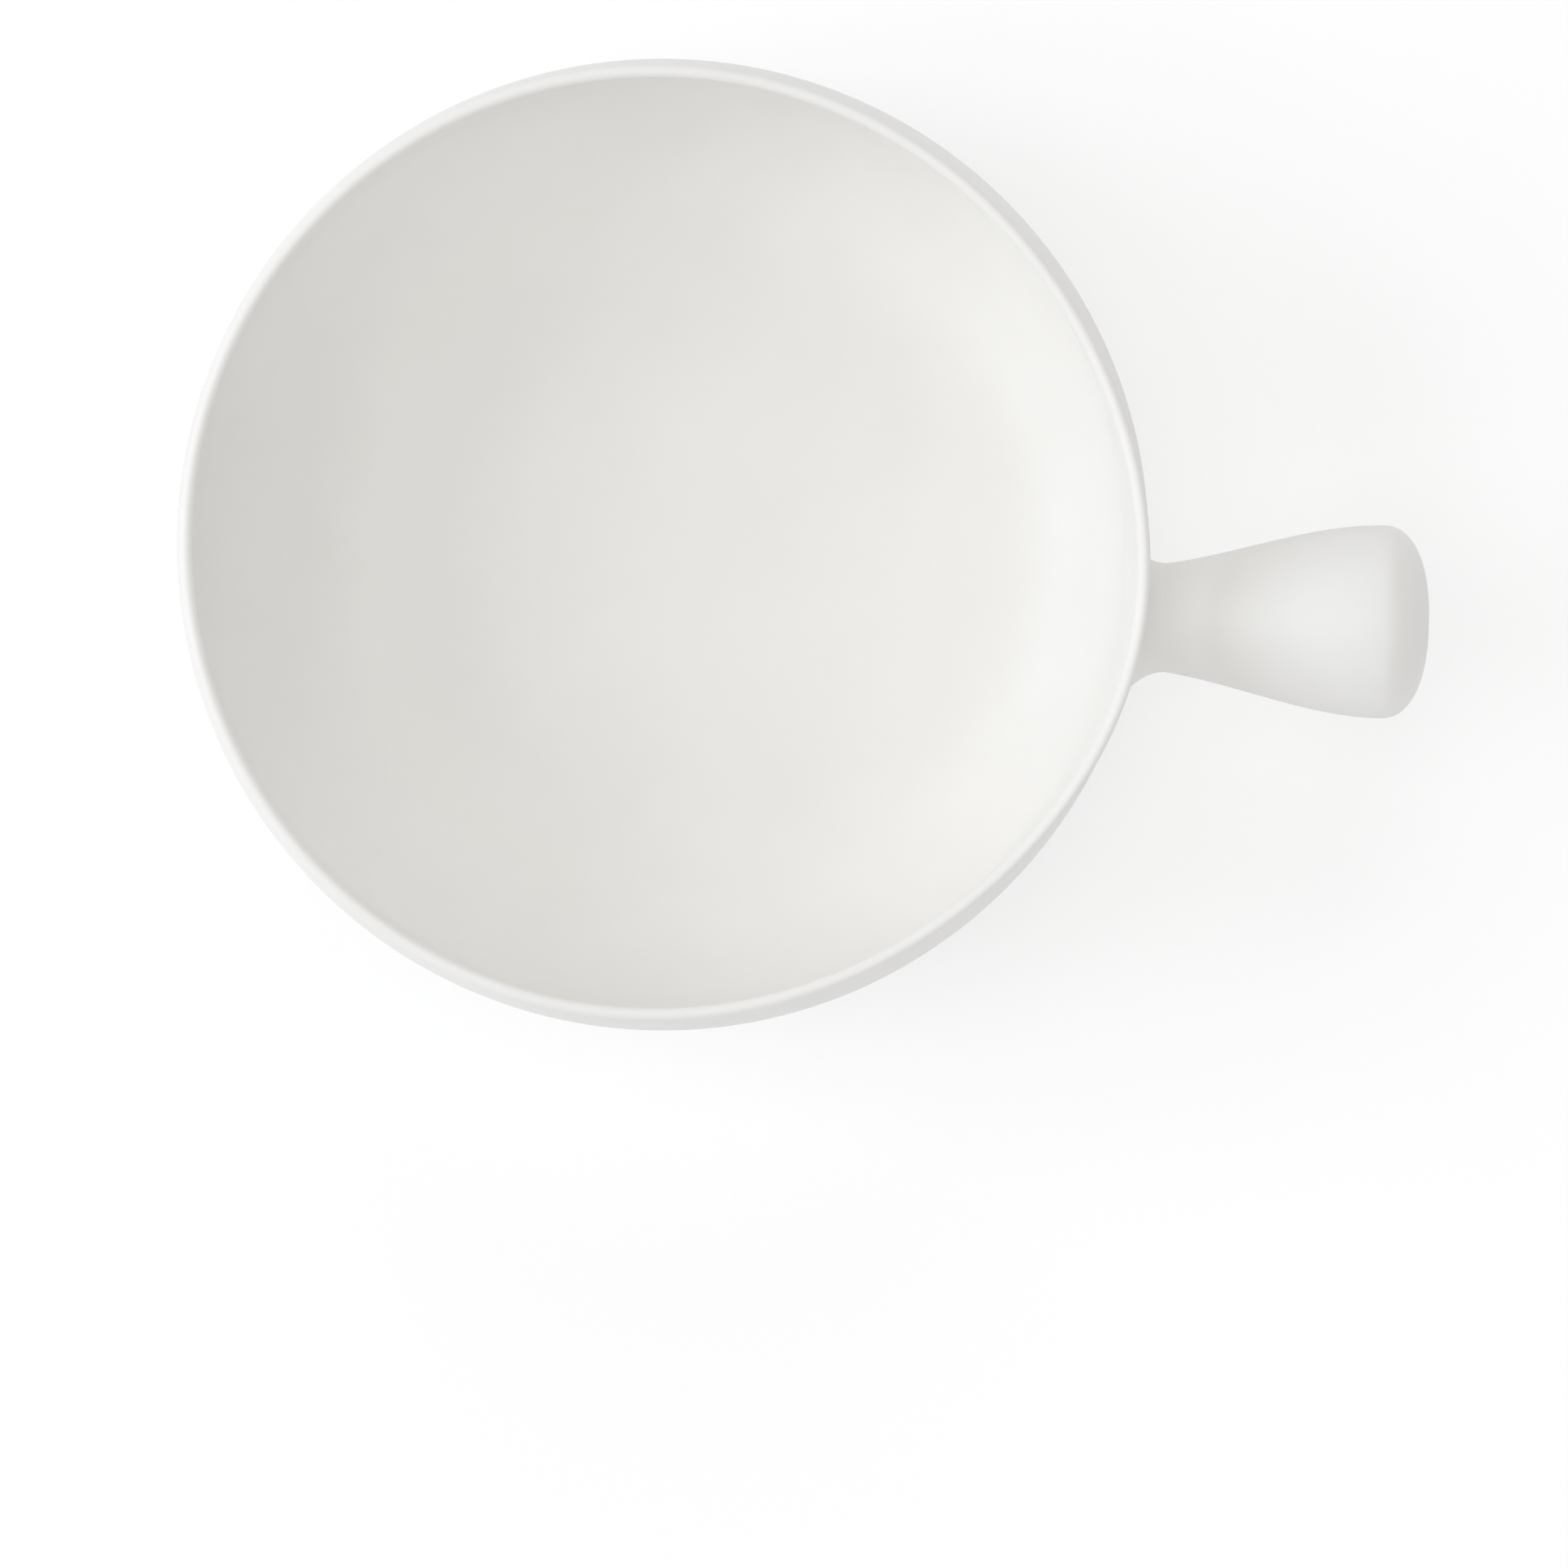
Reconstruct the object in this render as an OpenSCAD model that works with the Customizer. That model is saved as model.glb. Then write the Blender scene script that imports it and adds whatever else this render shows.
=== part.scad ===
// Round soup bowl with one stub handle, in white glazed stoneware. A turned shell stands on a low
// foot ring, and a hollow flared stub is joined to its side with slip. The glaze coats are solids
// of their own, laid on the clay. The origin is on the bowl's axis, in the plane that it stands on,
// and the stub points along +X. Sizes are those of the finished, glazed bowl.

/* [Bowl] */
// Outside diameter over the lip
rim_d = 160; // [130:1:200]
// How far the belly stands out beyond the lip, all round
belly_swell = 2; // [0:0.1:6]
// Height of the bowl
bowl_h = 60; // [52:1:80]
// Height of the belly, where the wall is widest
belly_h = 38.5; // [32:0.5:44]
// Thickness of the fully rounded lip
lip_t = 2.2; // [2:0.1:5]
// Thickness of the wall at the belly
wall_t = 3.8; // [2.4:0.1:5]
// Thickness of the floor at its middle
floor_t = 4.2; // [3:0.1:7]
// How far the middle of the floor lies below its edge
floor_dish = 0.6; // [0:0.1:1.5]
// Fullness of the turn from wall to base, 2 is a plain ellipse
turn_power = 2.15; // [1.8:0.05:2.6]

/* [Foot] */
// Diameter of the foot ring where it leaves the body
foot_d = 119; // [100:1:122]
// How far the foot ring's outside leans in from there to the table
foot_lean = 1; // [0:0.1:2]
// How far the edge of the inner floor lies within the foot ring's outside
floor_inset = 1.5; // [0.5:0.1:4]
// Height of the foot ring
foot_h = 2.8; // [1.8:0.1:4]
// Width of the foot ring
foot_w = 5.5; // [3:0.1:9]
// Radius of the foot ring's rounded edges, which carry no glaze
foot_edge = 0.8; // [0.4:0.1:1.4]
// Height of the well inside the foot ring
well_h = 4.8; // [4.4:0.1:6]

/* [Handle] */
// Height of the handle's axis above the table
handle_z = 34.5; // [31:0.5:38]
// How far the handle's axis lies to one side of the bowl's axis
handle_shift = 10.5; // [0:0.5:14]
// How far the handle stands out from the belly
handle_len = 47.5; // [36:0.5:70]
// Greatest diameter of the handle, near its tip
grip_d = 32.6; // [26:0.2:40]
// Length of the rounded end beyond the greatest diameter
grip_end = 8; // [4:0.1:14]
// Fullness of the rounded end, 2 is a plain ellipse
end_power = 2.3; // [1.8:0.1:3]
// Diameter of the neck
neck_d = 18.4; // [16.4:0.2:24]
// Distance of the neck from the belly
neck_out = 3; // [2:0.1:8]
// Diameter of the flared root, hidden in the bowl's wall
root_d = 29; // [24:0.5:33]
// Length of the flare from the neck to the root
root_len = 8; // [6:0.1:10]
// Thickness of the handle's clay wall
handle_wall = 6.2; // [4:0.1:7.4]
// Diameter of the vent under the handle
vent_d = 2.5; // [1.5:0.1:4]
// Distance of the vent from the neck
vent_out = 14; // [8:0.5:18]

/* [Joint and glaze] */
// Thickness of the layer of slip between handle and wall
slip_t = 0.8; // [0.5:0.1:1.5]
// Thickness of the glaze
glaze_t = 0.35; // [0.2:0.05:0.5]

/* [Hidden] */

$fn = 144;

clay = [0.86, 0.83, 0.78];
slip = [0.80, 0.76, 0.70];
glaze = [0.96, 0.955, 0.94];

// Straight steps that stand for each curved stretch of an outline
lip_steps = 8;
wall_steps = 8;
turn_steps = 16;
foot_turn_steps = 5;
floor_steps = 6;
edge_steps = 5;
root_steps = 6;
flare_steps = 14;
end_steps = 14;

rim_r = rim_d / 2;
lip_r = lip_t / 2;
lip_z = bowl_h - lip_r;
belly_r = rim_r + belly_swell;
floor_z = well_h + floor_t;
foot_r = foot_d / 2;
foot_base_r = foot_r - foot_lean;
floor_r = foot_r - floor_inset;
well_r = foot_base_r - foot_w;
// Height of the body's flat underside, which the foot ring is laid on
base_z = well_h + glaze_t;
// Radius of the glazed foot at the line where its glaze ends
glaze_line_r = foot_base_r + foot_lean * foot_edge / foot_h;

neck_r = neck_d / 2;
grip_r = grip_d / 2;
root_r = root_d / 2;
neck_x = belly_r + neck_out;
tip_x = belly_r + handle_len;
grip_x = tip_x - grip_end;
root_x = neck_x - root_len;
// The root runs on into the wall, to be trimmed by it
root_run = wall_t + neck_out;
// Steepness with which the handle leaves its neck, as a share of its mean slope
flare_start_share = 0.75;

function reversed(points) = [for (i = [len(points) - 1 : -1 : 0]) points[i]];

// Quarter turn about a point, from the first angle to the last
function corner(middle, radius, from, to, steps) = [
    for (i = [0 : steps]) let (a = from + (to - from) * i / steps)
        middle + radius * [cos(a), sin(a)]
];

// The wall between lip and belly, which is upright at the belly
function upper_wall(top_r, low_r) = [
    for (i = [1 : wall_steps]) let (t = i / wall_steps)
        [low_r - (low_r - top_r) * pow(1 - t, 2), lip_z + (belly_h - lip_z) * t]
];

// The turn from the belly to the base, from the first angle to the last
function lower_turn(wide_r, low_r, low_z, from, to, steps) = [
    for (i = [1 : steps]) let (a = from + (to - from) * i / steps)
        [
            low_r + (wide_r - low_r) * pow(cos(a), 2 / turn_power),
            belly_h - (belly_h - low_z) * pow(sin(a), 2 / turn_power),
        ]
];

// The angle at which a turn that ends at the given height passes the body's flat underside
function base_angle(low_z) =
    asin(pow((belly_h - base_z) / (belly_h - low_z), turn_power / 2));

// The dished floor, from its edge to the axis
function dish(back) = [
    for (i = [1 : floor_steps]) let (t = 1 - i / floor_steps)
        [floor_r * t, floor_z - back + floor_dish * pow(t, 2)]
];

// The outside from the lip's crest to the flat underside, set back by one length
function body_outside(back) = concat(
    corner([rim_r - lip_r, lip_z], lip_r - back, 90, 0, lip_steps),
    upper_wall(rim_r - back, belly_r - back),
    lower_turn(
        belly_r - back, foot_r - back, foot_h + back, 0, base_angle(foot_h + back), turn_steps
    )
);

// The outside from the flat underside to the top of the foot, set back by one length
function foot_outside(back) = lower_turn(
    belly_r - back, foot_r - back, foot_h + back, base_angle(foot_h + back), 90, foot_turn_steps
);

// The whole outside, set back by one length
function outside(back) = concat(body_outside(back), foot_outside(back));

// The inside from the lip's crest to the middle of the floor, set back by one length
function inside(back) = concat(
    corner([rim_r - lip_r, lip_z], lip_r - back, 90, 180, lip_steps),
    upper_wall(rim_r - lip_t + back, belly_r - wall_t + back),
    lower_turn(
        belly_r - wall_t + back, floor_r, floor_z + floor_dish - back, 0, 90, turn_steps
    ),
    dish(back)
);

// The handle's outline as radius and distance from the bowl's axis, set back by one length
function stub(back) = concat(
    [[root_r - back, root_x - root_run]],
    [
        for (i = [0 : root_steps]) let (t = 1 - i / root_steps)
            [neck_r + (root_r - neck_r) * pow(t, 2) - back, neck_x - root_len * t]
    ],
    [
        for (i = [1 : flare_steps]) let (t = i / flare_steps, s = flare_start_share)
            [
                neck_r - back
                    + (grip_r - neck_r) * (s * t + (3 - 2 * s) * pow(t, 2) + (s - 2) * pow(t, 3)),
                neck_x + (grip_x - neck_x) * t,
            ]
    ],
    [
        for (i = [1 : end_steps]) let (a = 90 * i / end_steps)
            [
                (grip_r - back) * pow(cos(a), 2 / end_power),
                grip_x + (grip_end - back) * pow(sin(a), 2 / end_power),
            ]
    ]
);

// A profile turned about the bowl's axis
module turned(points) {
    rotate_extrude()
        polygon(points);
}

// The whole bowl as one filled solid, set back by one length
module filled_bowl(back) {
    turned(concat(
        [[0, bowl_h - back]],
        outside(back),
        [[0, foot_h + back]]
    ));
}

// The whole handle as one filled solid, set back by one length
module filled_handle(back) {
    translate([0, -handle_shift, handle_z])
        rotate([0, 90, 0])
            turned(concat([[0, root_x - root_run]], stub(back)));
}

// The hollow in the handle, open at the root and never narrower than the vent
module handle_hollow() {
    inset = glaze_t + handle_wall;
    translate([0, -handle_shift, handle_z])
        rotate([0, 90, 0])
            turned(concat(
                [[0, root_x - root_run]],
                [for (p = stub(inset)) p[1] < grip_x ? [max(p[0], vent_d / 2), p[1]] : p]
            ));
}

// The vent, straight down from the handle's axis
module vent() {
    translate([neck_x + vent_out, -handle_shift, handle_z - grip_r])
        cylinder(d = vent_d, h = grip_r);
}

// The clay shell of the bowl: rounded lip, wall and floor, with a flat underside
module bowl_body() {
    color(clay)
        turned(concat(
            body_outside(glaze_t),
            [[0, base_z]],
            reversed(inside(glaze_t))
        ));
}

// The ring that the bowl stands on, blended into the wall's turn and bare at its rounded edge
module foot_ring() {
    top_outside = body_outside(glaze_t);
    outer_r = glaze_line_r - glaze_t;
    inner_r = well_r + glaze_t;
    color(clay)
        turned(concat(
            [top_outside[len(top_outside) - 1]],
            foot_outside(glaze_t),
            corner([outer_r - foot_edge, foot_edge], foot_edge, 0, -90, edge_steps),
            corner([inner_r + foot_edge, foot_edge], foot_edge, -90, -180, edge_steps),
            [[inner_r, base_z]]
        ));
}

// The hollow stub, trimmed at its root to the curve of the wall
module handle() {
    color(clay)
        difference() {
            filled_handle(glaze_t);
            filled_bowl(glaze_t - slip_t);
            handle_hollow();
            vent();
        }
}

// The slip that joins the handle's root to the wall
module luting_slip() {
    color(slip)
        difference() {
            intersection() {
                filled_handle(glaze_t);
                filled_bowl(glaze_t - slip_t);
            }
            filled_bowl(glaze_t);
            handle_hollow();
        }
}

// The coat inside the bowl, from the lip's crest down
module glaze_inside() {
    color(glaze)
        turned(concat(inside(0), reversed(inside(glaze_t))));
}

// The coat outside the bowl, from the lip's crest to the foot's bare edge, open at the handle
module glaze_outside() {
    color(glaze)
        difference() {
            turned(concat(
                outside(0),
                [[glaze_line_r, foot_edge], [glaze_line_r - glaze_t, foot_edge]],
                reversed(outside(glaze_t))
            ));
            filled_handle(0);
        }
}

// The coat on the handle, down to the clay of the wall
module glaze_handle() {
    color(glaze)
        difference() {
            filled_handle(0);
            filled_handle(glaze_t);
            filled_bowl(glaze_t);
            vent();
        }
}

// The coat in the well under the floor
module glaze_well() {
    color(glaze)
        turned([
            [0, base_z],
            [well_r + glaze_t, base_z],
            [well_r + glaze_t, foot_edge],
            [well_r, foot_edge],
            [well_r, well_h],
            [0, well_h],
        ]);
}

bowl_body();
foot_ring();
handle();
luting_slip();
glaze_inside();
glaze_outside();
glaze_handle();
glaze_well();
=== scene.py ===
import math

import bmesh
import bpy
from mathutils import Matrix, Vector


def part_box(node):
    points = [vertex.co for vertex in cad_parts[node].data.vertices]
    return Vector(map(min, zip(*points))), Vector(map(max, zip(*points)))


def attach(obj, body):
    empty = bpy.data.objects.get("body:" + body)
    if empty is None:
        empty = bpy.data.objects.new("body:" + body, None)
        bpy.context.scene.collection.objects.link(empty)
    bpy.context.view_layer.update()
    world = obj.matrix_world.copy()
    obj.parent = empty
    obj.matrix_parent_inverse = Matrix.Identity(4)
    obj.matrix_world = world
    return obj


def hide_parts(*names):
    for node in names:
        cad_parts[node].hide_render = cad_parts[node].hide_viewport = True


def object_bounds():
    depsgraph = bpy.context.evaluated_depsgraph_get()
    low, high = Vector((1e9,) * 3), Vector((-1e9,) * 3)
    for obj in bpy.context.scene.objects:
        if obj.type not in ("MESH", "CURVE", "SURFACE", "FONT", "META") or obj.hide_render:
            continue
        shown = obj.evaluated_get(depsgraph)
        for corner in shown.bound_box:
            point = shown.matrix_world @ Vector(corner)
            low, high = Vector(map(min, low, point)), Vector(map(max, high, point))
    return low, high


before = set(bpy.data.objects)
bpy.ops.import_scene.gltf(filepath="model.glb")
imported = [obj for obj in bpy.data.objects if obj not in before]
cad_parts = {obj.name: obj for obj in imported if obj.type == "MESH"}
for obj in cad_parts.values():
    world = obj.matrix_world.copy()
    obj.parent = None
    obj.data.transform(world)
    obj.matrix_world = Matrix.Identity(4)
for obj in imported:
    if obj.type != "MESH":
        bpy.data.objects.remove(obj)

# The CAD model's box; its low corner sets the floor's height
cad_lo, cad_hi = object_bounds()

# The ware's sizes are in millimetres, and its meshes are scaled to metres as they are made
MM = 0.001


def box_mm(node):
    """Lowest and highest corner of a CAD node, in millimetres."""
    lo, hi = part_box(node)
    return lo / MM, hi / MM


# Sizes that the frame gives
_, outside_hi = box_mm("glaze_outside")
inside_lo, _ = box_mm("glaze_inside")
well_lo, well_hi = box_mm("glaze_well")
stub_lo, stub_hi = box_mm("glaze_handle")

# The bowl: coat, lip, wall, the height where it is widest and how far it swells there
GLAZE_T = 0.35
LIP_T = 2.2
WALL_T = 3.8
BELLY_H = 38.5
BELLY_SWELL = 2

# The turn from wall to base: 2 is an ellipse, and more is squarer
TURN_POWER = 2.15

# The floor: how far it rises towards the wall, and how far inside the foot it ends
FLOOR_DISH = 0.6
FLOOR_INSET = 1.5

# The foot ring: its diameter at the top, its height, and how far its side leans in to the bottom
FOOT_D = 119
FOOT_H = 2.8
FOOT_LEAN = 1

# The stub: its neck and the neck's place beyond the wall, its flared root and its rounded end
NECK_D = 18.4
NECK_OUT = 3
ROOT_D = 29
ROOT_LEN = 8
GRIP_END = 8
END_POWER = 2.3

# How steeply the stub widens from the neck, as a share of its mean slope
FLARE_START_SHARE = 0.75

# The firing vent under the stub, and its place beyond the neck
VENT_D = 2.5
VENT_OUT = 14

# Lengths that follow from these and from the frame
belly_r = outside_hi.y
bowl_h = outside_hi.z
rim_r = belly_r - BELLY_SWELL
lip_r = LIP_T / 2
lip_z = bowl_h - lip_r
floor_z = inside_lo.z + GLAZE_T
foot_edge = well_lo.z
well_h = well_hi.z - GLAZE_T
well_r = well_hi.y - GLAZE_T
foot_r = FOOT_D / 2
foot_base_r = foot_r - FOOT_LEAN
floor_r = foot_r - FLOOR_INSET
axis_y = (stub_lo.y + stub_hi.y) / 2
axis_z = (stub_lo.z + stub_hi.z) / 2
grip_r = (stub_hi.z - stub_lo.z) / 2
tip_x = stub_hi.x
grip_x = tip_x - GRIP_END
neck_x = belly_r + NECK_OUT
neck_r = NECK_D / 2
root_r = ROOT_D / 2

# Softened creases: along the stub and along the wall at the root, and down the foot from its top
CREASE_ALONG_STUB = 0.6
CREASE_ALONG_WALL = 0.5
FOOT_CREASE = 1.1

# The edge of the coat at the foot: the height of its bead, and a slow, uneven line above the clay,
# made of waves, each as its number round the bowl, its height share and its phase
GLAZE_BEAD = 0.5
GLAZE_LINE_GAP = 0.1
GLAZE_LINE_WAVE = 0.12
GLAZE_WAVES = ((3, 1, 0.4), (7, 0.7, 2.1), (13, 0.4, 4))

# The coat in the well: its round corner, seen and unseen, and the straight side above its bead
WELL_FILLET = 1.6
WELL_FILLET_HIDDEN = 0.3
WELL_STRAIGHT = 0.6

# The firing warp of the rim: how far it is drawn out over the stub, at which angle in degrees from
# +X, and how wide
RIM_PULL = 3.0
RIM_PULL_ANGLE = -11
RIM_PULL_WIDTH = 30

# The stub's camber: its height, the share of it that lowers the ends, and the share of the stub's
# length before the neck over which it sets in
CAMBER = 1.3
CAMBER_DROP_SHARE = 0.5
CAMBER_START_SHARE = 0.15

# How many faces the meshes have
COLUMNS = 256
DISH_ROWS = 10
TURN_ROWS = 26
WALL_ROWS = 15
LIP_ROWS = 8
BEAD_ROWS = 4
FOOT_ROWS = 4
PATCH_RINGS = 8
CREASE_RINGS = 7
ROOT_RINGS = 6
STUB_RINGS = 26
END_RINGS = 18
HOLE_RINGS = 3
HOLE_EDGE_RINGS = 3

# Degrees of the outer turn above the softened crease at the foot
TURN_END = 84

# The window in the wall that the root grows out of: how far it reaches from the stub's axis, and
# how much closer its rings lie towards the root
WINDOW_REACH = 19
WINDOW_EASE = 1.4

# How far the patch round the vent reaches, as a share of the vent's diameter
VENT_REACH_SHARE = 1.1

# The search for the crease: how far inward of the neck it starts, as a share of the root's length,
# and how often it halves
SEARCH_SHARE = 1.2
HALVINGS = 40


def smooth(t):
    """Eases from 0 at t = 0 to 1 at t = 1."""
    t = min(max(t, 0), 1)
    return t * t * (3 - 2 * t)


def mix(a, b, t):
    """The point or number a share t of the way from a to b."""
    return a + (b - a) * t


def bend(a, corner, b, t):
    """A point on the curve that leaves a towards the corner and reaches b from there."""
    return (1 - t) ** 2 * a + 2 * t * (1 - t) * corner + t * t * b


# Profiles of the bowl, each point as radius and height, set back by one length

def turn_point(wide_r, low_r, low_z, degrees):
    """A point on the turn from the wall to the base."""
    a = math.radians(degrees)
    return Vector((
        low_r + (wide_r - low_r) * max(math.cos(a), 0) ** (2 / TURN_POWER),
        BELLY_H - (BELLY_H - low_z) * math.sin(a) ** (2 / TURN_POWER),
    ))


def lip_point(back, degrees):
    """A point on the round of the lip, from 0 outside to 180 inside."""
    a = math.radians(degrees)
    r = lip_r - back
    return Vector((rim_r - lip_r + r * math.cos(a), lip_z + r * math.sin(a)))


def upright_point(top_r, low_r, t):
    """A point on the wall, from the lip at t = 0 to the belly at t = 1."""
    return Vector((low_r - (low_r - top_r) * (1 - t) ** 2, mix(lip_z, BELLY_H, t)))


def wall_radius(z, back):
    """Outer radius of the wall at a height."""
    wide_r = belly_r - back
    if z >= BELLY_H:
        return wide_r - BELLY_SWELL * ((z - BELLY_H) / (lip_z - BELLY_H)) ** 2
    low_r = foot_r - back
    share = (BELLY_H - z) / (BELLY_H - FOOT_H - back)
    return low_r + (wide_r - low_r) * (1 - share ** TURN_POWER) ** (1 / TURN_POWER)


def foot_side(z, back):
    """Outer radius of the foot ring at a height."""
    return foot_base_r + FOOT_LEAN * z / FOOT_H - back


def inside_rows(back):
    """From the middle of the floor to the lip's crest, without the point on the axis."""
    low_z = floor_z + FLOOR_DISH - back
    rows = []
    for i in range(1, DISH_ROWS + 1):
        t = i / DISH_ROWS
        rows.append(Vector((floor_r * t, floor_z - back + FLOOR_DISH * t * t)))
    wide_r = belly_r - WALL_T + back
    for i in range(TURN_ROWS - 1, -1, -1):
        rows.append(turn_point(wide_r, floor_r, low_z, 90 * i / TURN_ROWS))
    for i in range(WALL_ROWS - 1, -1, -1):
        rows.append(upright_point(rim_r - LIP_T + back, wide_r, i / WALL_ROWS))
    for i in range(1, LIP_ROWS):
        rows.append(lip_point(back, 180 - 90 * i / LIP_ROWS))
    return rows


def outside_rows(back):
    """From the lip's crest down to the foot, short of the glaze's edge."""
    rows = [lip_point(back, 90 - 90 * i / LIP_ROWS) for i in range(LIP_ROWS)]
    for i in range(WALL_ROWS):
        rows.append(upright_point(rim_r - back, belly_r - back, i / WALL_ROWS))
    for i in range(TURN_ROWS + 1):
        degrees = TURN_END * i / TURN_ROWS
        rows.append(turn_point(belly_r - back, foot_r - back, FOOT_H + back, degrees))
    start = rows[-1]
    corner = Vector((foot_r - back, FOOT_H + back))
    end = Vector((foot_side(FOOT_H - FOOT_CREASE, back), FOOT_H - FOOT_CREASE))
    for i in range(1, FOOT_ROWS + 1):
        rows.append(bend(start, corner, end, i / FOOT_ROWS))
    return rows


def well_rows(back, fillet):
    """From the middle of the well's ceiling out and down its side, short of the glaze's edge."""
    top = well_h + back
    side = well_r + back
    rows = [Vector((mix(0, side - fillet, i / DISH_ROWS), top)) for i in range(1, DISH_ROWS + 1)]
    for i in range(1, LIP_ROWS + 1):
        a = math.radians(90 * i / LIP_ROWS)
        rows.append(Vector((side - fillet + fillet * math.sin(a), top - fillet + fillet * math.cos(a))))
    rows.append(Vector((side, foot_edge + GLAZE_BEAD + WELL_STRAIGHT)))
    return rows


# The stub, by distance from the bowl's axis and angle round the stub's own axis

def stub_radius(x, back):
    """Radius of the stub, short of its rounded end."""
    if x <= neck_x:
        return neck_r + (root_r - neck_r) * ((neck_x - x) / ROOT_LEN) ** 2 - back
    t = (x - neck_x) / (grip_x - neck_x)
    s = FLARE_START_SHARE
    rise = s * t + (3 - 2 * s) * t ** 2 + (s - 2) * t ** 3
    return neck_r - back + (grip_r - neck_r) * rise


def stub_point(x, r, angle):
    """A point at an angle round the stub's axis, where 0 is +Y and a quarter turn is up."""
    return Vector((x, axis_y + r * math.cos(angle), axis_z + r * math.sin(angle)))


def on_stub(x, angle, back):
    """The point of the stub's surface at an angle round its axis."""
    return stub_point(x, stub_radius(x, back), angle)


def on_wall(y, z, back):
    """The point of the outer wall on the stub's side, at that y and z."""
    return Vector((math.sqrt(wall_radius(z, back) ** 2 - y * y), y, z))


def crease_x(angle, back):
    """Where the flared root meets the wall, at an angle round the stub, found by halving."""
    low = neck_x - SEARCH_SHARE * ROOT_LEN
    high = neck_x
    for _ in range(HALVINGS):
        x = (low + high) / 2
        p = on_stub(x, angle, back)
        if math.hypot(p.x, p.y) > wall_radius(p.z, back):
            high = x
        else:
            low = x
    return (low + high) / 2


def warp(p):
    """Moves a point as the firing did: the rim outwards over the stub, the stub's axis to a camber."""
    x, y, z = p
    if z > BELLY_H:
        r = math.hypot(x, y)
        rise = ((z - BELLY_H) / (lip_z - BELLY_H)) ** 2
        turn = (math.degrees(math.atan2(y, x)) - RIM_PULL_ANGLE) / RIM_PULL_WIDTH
        beyond = 1 - smooth((r - belly_r) / (neck_x - belly_r))
        pull = RIM_PULL * rise * math.exp(-turn * turn) * beyond
        x += pull * x / r
        y += pull * y / r
    along = (p[0] - neck_x) / (tip_x - neck_x)
    onset = smooth((along + CAMBER_START_SHARE) / CAMBER_START_SHARE)
    arch = math.sin(math.pi * min(max(along, 0), 1)) - CAMBER_DROP_SHARE
    return Vector((x, y, z + CAMBER * arch * onset))


# Meshes as lists of points and faces, built from rings

class Sheet:
    """Points in millimetres and the faces between them."""

    def __init__(self):
        self.points = []
        self.faces = []

    def add(self, point):
        """Adds a point and returns its number."""
        self.points.append(point)
        return len(self.points) - 1

    def ring(self, points):
        """Adds points and returns their numbers."""
        return [self.add(p) for p in points]

    def band(self, a, b):
        """Joins two closed rings of equal length."""
        for i in range(len(a)):
            j = (i + 1) % len(a)
            self.faces.append((a[i], a[j], b[j], b[i]))

    def grow(self, ring, points):
        """Adds a ring, joins it to the last one and returns it."""
        following = self.ring(points)
        self.band(ring, following)
        return following

    def cap(self, ring, point):
        """Closes a ring on one point."""
        tip = self.add(point)
        for i in range(len(ring)):
            self.faces.append((ring[i], ring[(i + 1) % len(ring)], tip))

    def mesh(self, name):
        """The mesh in metres, warped as the firing did, with its faces turned outwards."""
        mesh = bpy.data.meshes.new(name)
        mesh.from_pydata([warp(p) * MM for p in self.points], [], self.faces)
        bm = bmesh.new()
        bm.from_mesh(mesh)
        bmesh.ops.recalc_face_normals(bm, faces=bm.faces)
        bm.to_mesh(mesh)
        bm.free()
        mesh.shade_smooth()
        return mesh


def circle(r, z):
    """A ring of points about the bowl's axis, starting opposite the stub."""
    angles = [math.pi * (2 * j / COLUMNS - 1) for j in range(COLUMNS)]
    return [Vector((r * math.cos(a), r * math.sin(a), z)) for a in angles]


# The coat over the bowl and its stub. Each side of it is built by the functions below, set back by
# one length, and the two sides are joined at the foot and in the vent.

def bowl_inside(sheet, back):
    """The inside, from the floor's middle up to just short of the lip's crest; returns its ring."""
    rows = inside_rows(back)
    ring = sheet.ring(circle(*rows[0]))
    sheet.cap(ring, Vector((0, 0, floor_z - back)))
    for p in rows[1:]:
        ring = sheet.grow(ring, circle(*p))
    return ring


def window_columns():
    """First and last column of the window."""
    middle = math.atan2(axis_y, math.sqrt(belly_r ** 2 - axis_y ** 2))
    half = WINDOW_REACH / belly_r
    first = round(COLUMNS * (middle - half + math.pi) / (2 * math.pi))
    last = round(COLUMNS * (middle + half + math.pi) / (2 * math.pi))
    return first, last


def window_rows(rows):
    """First and last row of the window."""
    reach = [i for i, p in enumerate(rows) if abs(p.y - axis_z) < WINDOW_REACH]
    return reach[0], reach[-1]


def bowl_outside(sheet, back, inner_ring):
    """The outside from the crest to the foot, open at the window; returns window and last ring."""
    rows = outside_rows(back)
    top, bottom = window_rows(rows)
    left, right = window_columns()
    grid = [sheet.grow(inner_ring, circle(*rows[0]))]
    for i in range(1, len(rows)):
        ring = []
        for j, q in enumerate(circle(*rows[i])):
            in_window = top < i < bottom and left < j < right
            ring.append(None if in_window else sheet.add(q))
        grid.append(ring)
    for i in range(len(grid) - 1):
        for j in range(COLUMNS):
            if top <= i < bottom and left <= j < right:
                continue
            k = (j + 1) % COLUMNS
            sheet.faces.append((grid[i][j], grid[i][k], grid[i + 1][k], grid[i + 1][j]))
    window = [grid[top][j] for j in range(left, right)]
    window += [grid[i][right] for i in range(top, bottom)]
    window += [grid[bottom][j] for j in range(right, left, -1)]
    window += [grid[i][left] for i in range(bottom, top, -1)]
    return window, grid[-1]


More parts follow.
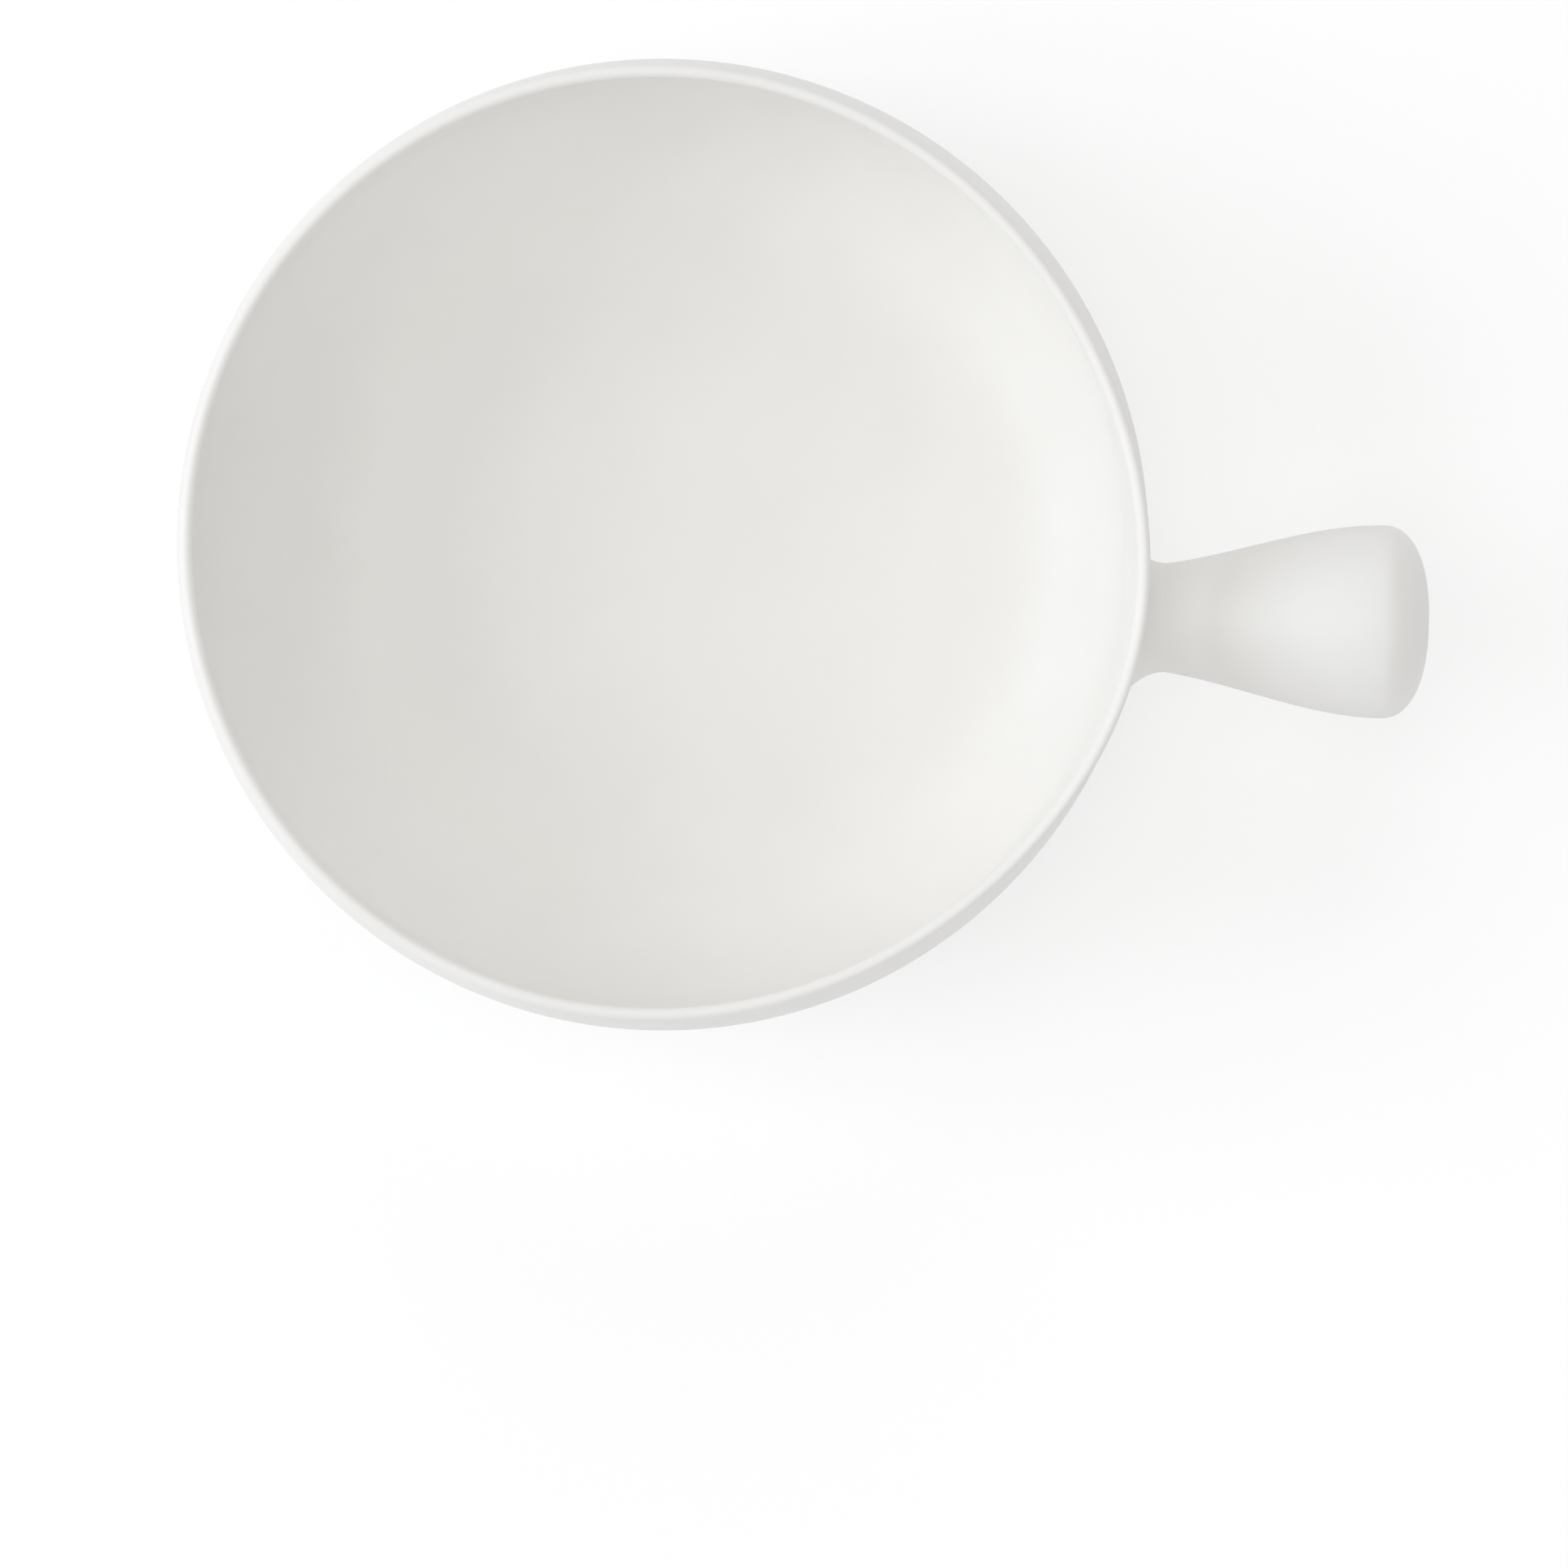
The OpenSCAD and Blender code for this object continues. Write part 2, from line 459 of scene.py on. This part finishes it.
def stub_root(sheet, back, window):
    """From the window over the softened crease up to the neck; returns its ring and its angles."""
    count = len(window)
    corner = sheet.points[window[0]]
    start = math.atan2(corner.z - axis_z, corner.y - axis_y)
    angles = [start - 2 * math.pi * k / count for k in range(count)]
    creases = [crease_x(a, back) for a in angles]
    crease_points = [on_stub(x, a, back) for x, a in zip(creases, angles)]
    wall_ends = []
    for a, c in zip(angles, crease_points):
        y = c.y + CREASE_ALONG_WALL * math.cos(a)
        z = c.z + CREASE_ALONG_WALL * math.sin(a)
        wall_ends.append(on_wall(y, z, back))
    outline = [sheet.points[i] for i in window]
    ring = window
    for i in range(1, PATCH_RINGS + 1):
        t = 1 - (1 - i / PATCH_RINGS) ** WINDOW_EASE
        rows = zip(outline, wall_ends)
        ring = sheet.grow(ring, [on_wall(mix(e.y, w.y, t), mix(e.z, w.z, t), back) for e, w in rows])
    starts = [x + CREASE_ALONG_STUB for x in creases]
    stub_ends = [on_stub(x, a, back) for x, a in zip(starts, angles)]
    for i in range(1, CREASE_RINGS + 1):
        t = i / CREASE_RINGS
        rows = zip(wall_ends, crease_points, stub_ends)
        ring = sheet.grow(ring, [bend(w, c, s, t) for w, c, s in rows])
    for i in range(1, ROOT_RINGS + 1):
        t = i / ROOT_RINGS
        ring = sheet.grow(ring, [on_stub(mix(x, neck_x, t), a, back) for x, a in zip(starts, angles)])
    return ring, angles


def vent_ring(places, radius, back):
    """A ring round the vent, in the directions of the given places."""
    points = []
    for u, v in places:
        size = math.hypot(u, v)
        x = neck_x + VENT_OUT + u / size * radius
        angle = -math.pi / 2 + v / size * radius / stub_radius(x, 0)
        points.append(on_stub(x, angle, back))
    return points


def seated_on_stub(p, back):
    """The point of the stub's surface nearest to a point close under or over it."""
    angle = math.atan2(p.z - axis_z, p.y - axis_y)
    return on_stub(p.x, angle, back)


def stub_flare(sheet, back, neck, angles):
    """From the neck to the greatest diameter, open at the vent.

    Returns its last ring, and the vent's ring with the directions of its points."""
    count = len(angles)
    stations = [mix(neck_x, grip_x, i / STUB_RINGS) for i in range(STUB_RINGS + 1)]
    vent_x = neck_x + VENT_OUT
    step = stations[1] - stations[0]
    reach = VENT_D * VENT_REACH_SHARE + step / 2
    low = max(i for i, x in enumerate(stations) if x < vent_x - reach)
    high = min(i for i, x in enumerate(stations) if x > vent_x + reach)
    down = -math.pi / 2
    nearest = min(range(count), key=lambda k: abs(math.remainder(angles[k] - down, 2 * math.pi)))
    span = round(reach / stub_radius(vent_x, 0) / (2 * math.pi / count)) + 1
    columns = [(nearest + d) % count for d in range(-span, span + 1)]
    grid = [neck]
    for i in range(1, STUB_RINGS + 1):
        ring = []
        for k, a in enumerate(angles):
            in_vent = low < i < high and k in columns[1:-1]
            ring.append(None if in_vent else sheet.add(on_stub(stations[i], a, back)))
        grid.append(ring)
    for i in range(STUB_RINGS):
        for k in range(count):
            if low <= i < high and k in columns[:-1]:
                continue
            n = (k + 1) % count
            sheet.faces.append((grid[i][k], grid[i][n], grid[i + 1][n], grid[i + 1][k]))
    edge = [(low, k) for k in columns[:-1]]
    edge += [(i, columns[-1]) for i in range(low, high)]
    edge += [(high, k) for k in reversed(columns[1:])]
    edge += [(i, columns[0]) for i in range(high, low, -1)]
    places = []
    for i, k in edge:
        across = math.remainder(angles[k] - down, 2 * math.pi) * stub_radius(stations[i], 0)
        places.append((stations[i] - vent_x, across))
    ring = [grid[i][k] for i, k in edge]
    outline = [sheet.points[i] for i in ring]
    rim = vent_ring(places, VENT_D / 2 + (GLAZE_T - back), back)
    for i in range(1, HOLE_RINGS + 1):
        t = i / HOLE_RINGS
        points = [mix(a, b, t) for a, b in zip(outline, rim)]
        ring = sheet.grow(ring, [seated_on_stub(p, back) for p in points])
    return grid[-1], ring, places


def stub_end(sheet, back, ring, angles):
    """The rounded end of the stub, closed on its tip."""
    for i in range(1, END_RINGS):
        a = math.radians(90 * i / END_RINGS)
        r = (grip_r - back) * math.cos(a) ** (2 / END_POWER)
        x = grip_x + (GRIP_END - back) * math.sin(a) ** (2 / END_POWER)
        ring = sheet.grow(ring, [stub_point(x, r, angle) for angle in angles])
    sheet.cap(ring, stub_point(tip_x - back, 0, 0))


def coat_side(sheet, back):
    """One side of the coat; returns its open edges: foot, vent and the directions round the vent."""
    inner_ring = bowl_inside(sheet, back)
    window, foot = bowl_outside(sheet, back, inner_ring)
    neck, angles = stub_root(sheet, back, window)
    grip, vent, places = stub_flare(sheet, back, neck, angles)
    stub_end(sheet, back, grip, angles)
    return foot, vent, places


def glaze_line(j):
    """Height at which the coat stops, at a column: a slow, uneven line."""
    a = 2 * math.pi * j / COLUMNS
    wave = sum(height * math.sin(number * a + phase) for number, height, phase in GLAZE_WAVES)
    most = sum(height for number, height, phase in GLAZE_WAVES)
    return foot_edge + GLAZE_LINE_GAP + GLAZE_LINE_WAVE * (1 + wave / most)


def bead(sheet, outer, inner, side):
    """Rounds a coat's edge from its outer to its inner side, down to the line that it stops at."""
    ring = outer
    for i in range(1, BEAD_ROWS + 1):
        t = i / BEAD_ROWS
        thick = GLAZE_T * math.sqrt(1 - t * t)
        points = []
        for j, q in enumerate(circle(1, 0)):
            z = glaze_line(j) + GLAZE_BEAD * (1 - t)
            r = side(z, thick)
            points.append(Vector((q.x * r, q.y * r, z)))
        ring = sheet.grow(ring, points)
    sheet.band(ring, inner)


def vent_edge(sheet, ring, inner, places):
    """Rolls the coat's edge into the vent, from its outer to its inner side."""
    for i in range(1, HOLE_EDGE_RINGS):
        a = math.radians(90 * i / HOLE_EDGE_RINGS)
        depth = GLAZE_T * (1 - math.cos(a))
        radius = VENT_D / 2 + GLAZE_T * (1 - math.sin(a))
        ring = sheet.grow(ring, vent_ring(places, radius, depth))
    sheet.band(ring, inner)


def make_coat():
    """The glaze over the bowl and its stub, in one closed shell."""
    sheet = Sheet()
    outer_foot, outer_vent, places = coat_side(sheet, 0)
    inner_foot, inner_vent, _ = coat_side(sheet, GLAZE_T)
    bead(sheet, outer_foot, inner_foot, lambda z, thick: foot_side(z, GLAZE_T - thick))
    vent_edge(sheet, outer_vent, inner_vent, places)
    return sheet.mesh("glaze_coat")


def make_well_coat():
    """The glaze in the well under the floor, in one closed shell."""
    sheet = Sheet()
    edges = []
    for back, fillet in ((0, WELL_FILLET), (GLAZE_T, WELL_FILLET_HIDDEN)):
        rows = well_rows(back, fillet)
        ring = sheet.ring(circle(*rows[0]))
        sheet.cap(ring, Vector((0, 0, well_h + back)))
        for p in rows[1:]:
            ring = sheet.grow(ring, circle(*p))
        edges.append(ring)
    bead(sheet, edges[0], edges[1], lambda z, thick: well_r + GLAZE_T - thick)
    return sheet.mesh("glaze_well_coat")


def warped_copy(node):
    """A CAD node's mesh, warped as the firing did."""
    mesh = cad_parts[node].data.copy()
    for v in mesh.vertices:
        v.co = warp(v.co / MM) * MM
    return mesh


# Materials. A noise is given as its features per metre, its detail and its roughness, and a bump
# as its height and its strength.

# The glaze: a warm white and a cooler one, and the colour that shows where it is thin, between two
# heights over the foot and by a share
GLAZE_WHITES = ((0.911, 0.899, 0.875), (0.931, 0.921, 0.900))
GLAZE_THIN = (0.80, 0.755, 0.69)
THIN_HEIGHTS = (3.2, 1.0)
THIN_SHARE = 0.55
GLAZE_ROUGHNESS = (0.46, 0.56)
GLAZE_IOR = 1.5
GLAZE_CLOUDS = (38, 3, 0.55)
GLAZE_SHEEN = (90, 4, 0.6)
GLAZE_PEEL = (260, 2, 0.5)
GLAZE_PEEL_BUMP = (0.03, 0.5)
GLAZE_FINE = (2200, 3, 0.6)
GLAZE_FINE_BUMP = (0.004, 0.6)

# The clay: two creams, and specks where their noise is between two levels
CLAY_CREAMS = ((0.74, 0.68, 0.59), (0.80, 0.75, 0.67))
CLAY_SPECK = (0.45, 0.36, 0.27)
SPECK_LEVELS = (0.66, 0.74)
SPECK_SHARE = 0.5
CLAY_ROUGHNESS = (0.78, 0.9)
CLAY_CLOUDS = (60, 4, 0.6)
CLAY_SPECKS = (2600, 2, 0.5)
CLAY_GRAIN = (3200, 4, 0.7)
CLAY_GRAIN_BUMP = (0.03, 0.8)

# The levels between which nearly all of a noise lies
NOISE_LEVELS = (0.3, 0.7)


def new_material(name):
    """A material, its shader, and its nodes and links."""
    material = bpy.data.materials.new(name)
    material.use_nodes = True
    nodes = material.node_tree.nodes
    return material, nodes["Principled BSDF"], nodes, material.node_tree.links


def noise(nodes, links, kind):
    """A noise texture in object coordinates."""
    place = nodes.new("ShaderNodeTexCoord")
    tex = nodes.new("ShaderNodeTexNoise")
    for name, value in zip(("Scale", "Detail", "Roughness"), kind):
        tex.inputs[name].default_value = value
    links.new(place.outputs["Object"], tex.inputs["Vector"])
    return tex.outputs["Fac"]


def remap(nodes, links, value, source, target):
    """Maps a value from one range to another, kept within it."""
    node = nodes.new("ShaderNodeMapRange")
    node.inputs["From Min"].default_value, node.inputs["From Max"].default_value = source
    node.inputs["To Min"].default_value, node.inputs["To Max"].default_value = target
    links.new(value, node.inputs["Value"])
    return node.outputs["Result"]


def combine(nodes, links, operation, a, b):
    """The larger or the product of two values, as the operation says."""
    node = nodes.new("ShaderNodeMath")
    node.operation = operation
    links.new(a, node.inputs[0])
    links.new(b, node.inputs[1])
    return node.outputs[0]


def blend_colours(nodes, links, fac, a, b):
    """A colour between a and b; each is a colour or a socket."""
    node = nodes.new("ShaderNodeMix")
    node.data_type = "RGBA"
    links.new(fac, node.inputs["Factor"])
    for name, value in (("A", a), ("B", b)):
        socket = next(s for s in node.inputs if s.name == name and s.type == "RGBA")
        if isinstance(value, tuple):
            socket.default_value = (*value, 1)
        else:
            links.new(value, socket)
    return next(s for s in node.outputs if s.type == "RGBA")


def bump(nodes, links, pattern, kind, below=None):
    """A bump from a pattern, on top of another; its height is in millimetres."""
    height, strength = kind
    node = nodes.new("ShaderNodeBump")
    node.inputs["Distance"].default_value = height * MM
    node.inputs["Strength"].default_value = strength
    links.new(pattern, node.inputs["Height"])
    if below is not None:
        links.new(below, node.inputs["Normal"])
    return node.outputs["Normal"]


def glaze_material():
    """Satin white glaze: faint clouds of warmer and cooler white, soft orange peel, thin at the foot."""
    material, shader, nodes, links = new_material("satin_glaze")
    clouds = remap(nodes, links, noise(nodes, links, GLAZE_CLOUDS), NOISE_LEVELS, (0, 1))
    body = blend_colours(nodes, links, clouds, *GLAZE_WHITES)
    place = nodes.new("ShaderNodeTexCoord")
    split = nodes.new("ShaderNodeSeparateXYZ")
    links.new(place.outputs["Object"], split.inputs[0])
    heights = [height * MM for height in THIN_HEIGHTS]
    near_foot = remap(nodes, links, split.outputs["Z"], heights, (0, THIN_SHARE))
    colour = blend_colours(nodes, links, near_foot, body, GLAZE_THIN)
    links.new(colour, shader.inputs["Base Color"])
    sheen = noise(nodes, links, GLAZE_SHEEN)
    roughness = remap(nodes, links, sheen, NOISE_LEVELS, GLAZE_ROUGHNESS)
    links.new(roughness, shader.inputs["Roughness"])
    shader.inputs["IOR"].default_value = GLAZE_IOR
    peel = bump(nodes, links, noise(nodes, links, GLAZE_PEEL), GLAZE_PEEL_BUMP)
    fine = bump(nodes, links, noise(nodes, links, GLAZE_FINE), GLAZE_FINE_BUMP, peel)
    links.new(fine, shader.inputs["Normal"])
    return material


def clay_material():
    """Fired bare clay: matt, cream, with fine grain and a few darker specks."""
    material, shader, nodes, links = new_material("bare_clay")
    clouds = remap(nodes, links, noise(nodes, links, CLAY_CLOUDS), NOISE_LEVELS, (0, 1))
    body = blend_colours(nodes, links, clouds, *CLAY_CREAMS)
    specks = remap(nodes, links, noise(nodes, links, CLAY_SPECKS), SPECK_LEVELS, (0, SPECK_SHARE))
    colour = blend_colours(nodes, links, specks, body, CLAY_SPECK)
    links.new(colour, shader.inputs["Base Color"])
    links.new(remap(nodes, links, clouds, (0, 1), CLAY_ROUGHNESS), shader.inputs["Roughness"])
    grain = bump(nodes, links, noise(nodes, links, CLAY_GRAIN), CLAY_GRAIN_BUMP)
    links.new(grain, shader.inputs["Normal"])
    return material


# The pieces of the ware

def add_piece(name, mesh, material, slot, *nodes):
    """A piece of the ware that stands for CAD nodes."""
    obj = bpy.data.objects.new(name, mesh)
    bpy.context.scene.collection.objects.link(obj)
    mesh.materials.clear()
    mesh.materials.append(material)
    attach(obj, "root")
    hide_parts(*nodes)


glaze = glaze_material()
clay = clay_material()

add_piece("glaze_coat", make_coat(), glaze, "glaze", "glaze_inside", "glaze_outside", "glaze_handle")
add_piece("glaze_well_coat", make_well_coat(), glaze, "glaze", "glaze_well")
add_piece("clay_bowl", warped_copy("bowl_body"), clay, "clay", "bowl_body")
add_piece("clay_handle", warped_copy("handle"), clay, "clay", "handle")
add_piece("clay_slip", warped_copy("luting_slip"), clay, "slip", "luting_slip")
foot_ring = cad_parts["foot_ring"]
foot_ring.data.materials.clear()
foot_ring.data.materials.append(clay)

# The studio, in metres

# The floor: its side and the cells along it, how white it is as the object is lit by it, the
# brightness that the lamps and the world give a white floor, and the share of its white that shadow
# takes away as the camera sees it, between the distances at which that share starts to fade and is
# gone
FLOOR_SIZE = 24
FLOOR_CELLS = 24
FLOOR_WHITE = 0.9
FLOOR_LEVEL = 0.91
SHADOW_SHARE = 0.4
SHADOW_FADE = (0.2, 1.2)

# The strength of the even light from all round
WORLD_LIGHT = 0.37

# Soft square lamps round the bowl and over it, strongest and a little cooler from the left: place,
# side, watts and colour
COOL = (0.89, 0.935, 1)
PLAIN = (1, 1, 1)
WARM = (1, 0.99, 0.95)
LAMPS = {
    "left": ((-4.5, 0, 3), 3.6, 102, COOL),
    "left_low": ((-5.2, 0, 1.4), 2.4, 28, PLAIN),
    "back": ((0, 4.5, 3), 3.6, 52, PLAIN),
    "front": ((0, -4.5, 3), 3.6, 42, PLAIN),
    "right": ((4.5, 0, 3), 3.6, 31, PLAIN),
    "above": ((-0.9, 0, 5.4), 3.6, 54, WARM),
}


def floor_material():
    """White studio floor. It shows a soft share of the object's shadow, and is plain white far off."""
    material, shader, nodes, links = new_material("white_floor")
    shader.inputs["Roughness"].default_value = 1
    shader.inputs["Specular IOR Level"].default_value = 0
    place = nodes.new("ShaderNodeTexCoord")
    length = nodes.new("ShaderNodeVectorMath")
    length.operation = "LENGTH"
    links.new(place.outputs["Object"], length.inputs[0])
    distance = length.outputs["Value"]
    glow = remap(nodes, links, distance, SHADOW_FADE, (1 - SHADOW_SHARE, 1))
    lit = remap(nodes, links, distance, SHADOW_FADE, (SHADOW_SHARE / FLOOR_LEVEL, 0))
    rays = nodes.new("ShaderNodeLightPath").outputs
    seen = combine(nodes, links, "MAXIMUM", rays["Is Camera Ray"], rays["Is Glossy Ray"])
    colour = blend_colours(nodes, links, seen, (FLOOR_WHITE,) * 3, lit)
    links.new(colour, shader.inputs["Base Color"])
    shader.inputs["Emission Color"].default_value = (1, 1, 1, 1)
    strength = combine(nodes, links, "MULTIPLY", glow, seen)
    links.new(strength, shader.inputs["Emission Strength"])
    return material


def make_floor():
    """A wide level floor at the height that the object stands on."""
    bm = bmesh.new()
    bmesh.ops.create_grid(bm, x_segments=FLOOR_CELLS, y_segments=FLOOR_CELLS, size=FLOOR_SIZE / 2)
    mesh = bpy.data.meshes.new("floor")
    bm.to_mesh(mesh)
    bm.free()
    floor = bpy.data.objects.new("floor", mesh)
    floor.location.z = cad_lo.z
    mesh.materials.append(floor_material())
    bpy.context.scene.collection.objects.link(floor)


def make_world():
    """Even soft light, and plain white where the camera sees it."""
    world = bpy.data.worlds.new("studio")
    bpy.context.scene.world = world
    world.use_nodes = True
    nodes, links = world.node_tree.nodes, world.node_tree.links
    sky = nodes["Background"]
    sky.inputs["Color"].default_value = (1, 1, 1, 1)
    rays = nodes.new("ShaderNodeLightPath").outputs
    seen = combine(nodes, links, "MAXIMUM", rays["Is Camera Ray"], rays["Is Transmission Ray"])
    links.new(remap(nodes, links, seen, (0, 1), (WORLD_LIGHT, 1)), sky.inputs["Strength"])


def add_lamp(name, place, side, watts, colour):
    """A soft square lamp that faces the bowl."""
    data = bpy.data.lights.new(name, "AREA")
    data.shape = "SQUARE"
    data.size = side
    data.energy = watts
    data.color = colour
    lamp = bpy.data.objects.new(name, data)
    bpy.context.scene.collection.objects.link(lamp)
    lamp.location = place
    lamp.rotation_euler = (-Vector(place)).to_track_quat("-Z", "Y").to_euler()


# The camera: nearly overhead, placed so that the bowl lies where the photograph has it. The
# photograph's side, the place of the lip's middle in it in pixels, and pixels per millimetre there
PHOTO_SIDE = 1932
LIP_PLACE = (808.5, 668.5)
PHOTO_SCALE = 7.365

# How far the stub slopes down in the picture, and how far the camera leans to the stub's side and
# to the picture's lower side, in degrees
STUB_SLOPE = 1.19
TILT_RIGHT = 3.3
TILT_DOWN = 1.2

# Its distance from the lip and its sensor in millimetres, and the depth that it sees in metres
DISTANCE = 2000
SENSOR = 36
CLIP = (0.1, 50)


def make_camera():
    """The camera, at the photograph's angle, distance and framing."""
    slope = math.radians(STUB_SLOPE)
    right = Vector((math.cos(slope), math.sin(slope), 0))
    up = Vector((-math.sin(slope), math.cos(slope), 0))
    away = Vector((0, 0, 1)) + right * math.tan(math.radians(TILT_RIGHT))
    away = (away - up * math.tan(math.radians(TILT_DOWN))).normalized()
    target = Vector((0, 0, lip_z))
    focal = PHOTO_SCALE * DISTANCE
    data = bpy.data.cameras.new("camera")
    data.sensor_width = SENSOR
    data.lens = focal * SENSOR / PHOTO_SIDE
    data.clip_start, data.clip_end = CLIP
    camera = bpy.data.objects.new("camera", data)
    bpy.context.scene.collection.objects.link(camera)
    across = up.cross(away).normalized()
    facing = Matrix((across, away.cross(across), away)).transposed()
    half = PHOTO_SIDE / 2
    ray = Vector((LIP_PLACE[0] - half, half - LIP_PLACE[1], -focal)).normalized()
    turn = ray.rotation_difference(Vector((0, 0, -1))).to_matrix()
    camera.matrix_world = Matrix.Translation((target + away * DISTANCE) * MM) @ (facing @ turn).to_4x4()
    bpy.context.scene.camera = camera


make_floor()
make_world()
for name, lamp in LAMPS.items():
    add_lamp(name, *lamp)
make_camera()
bpy.context.scene.view_settings.view_transform = "Standard"
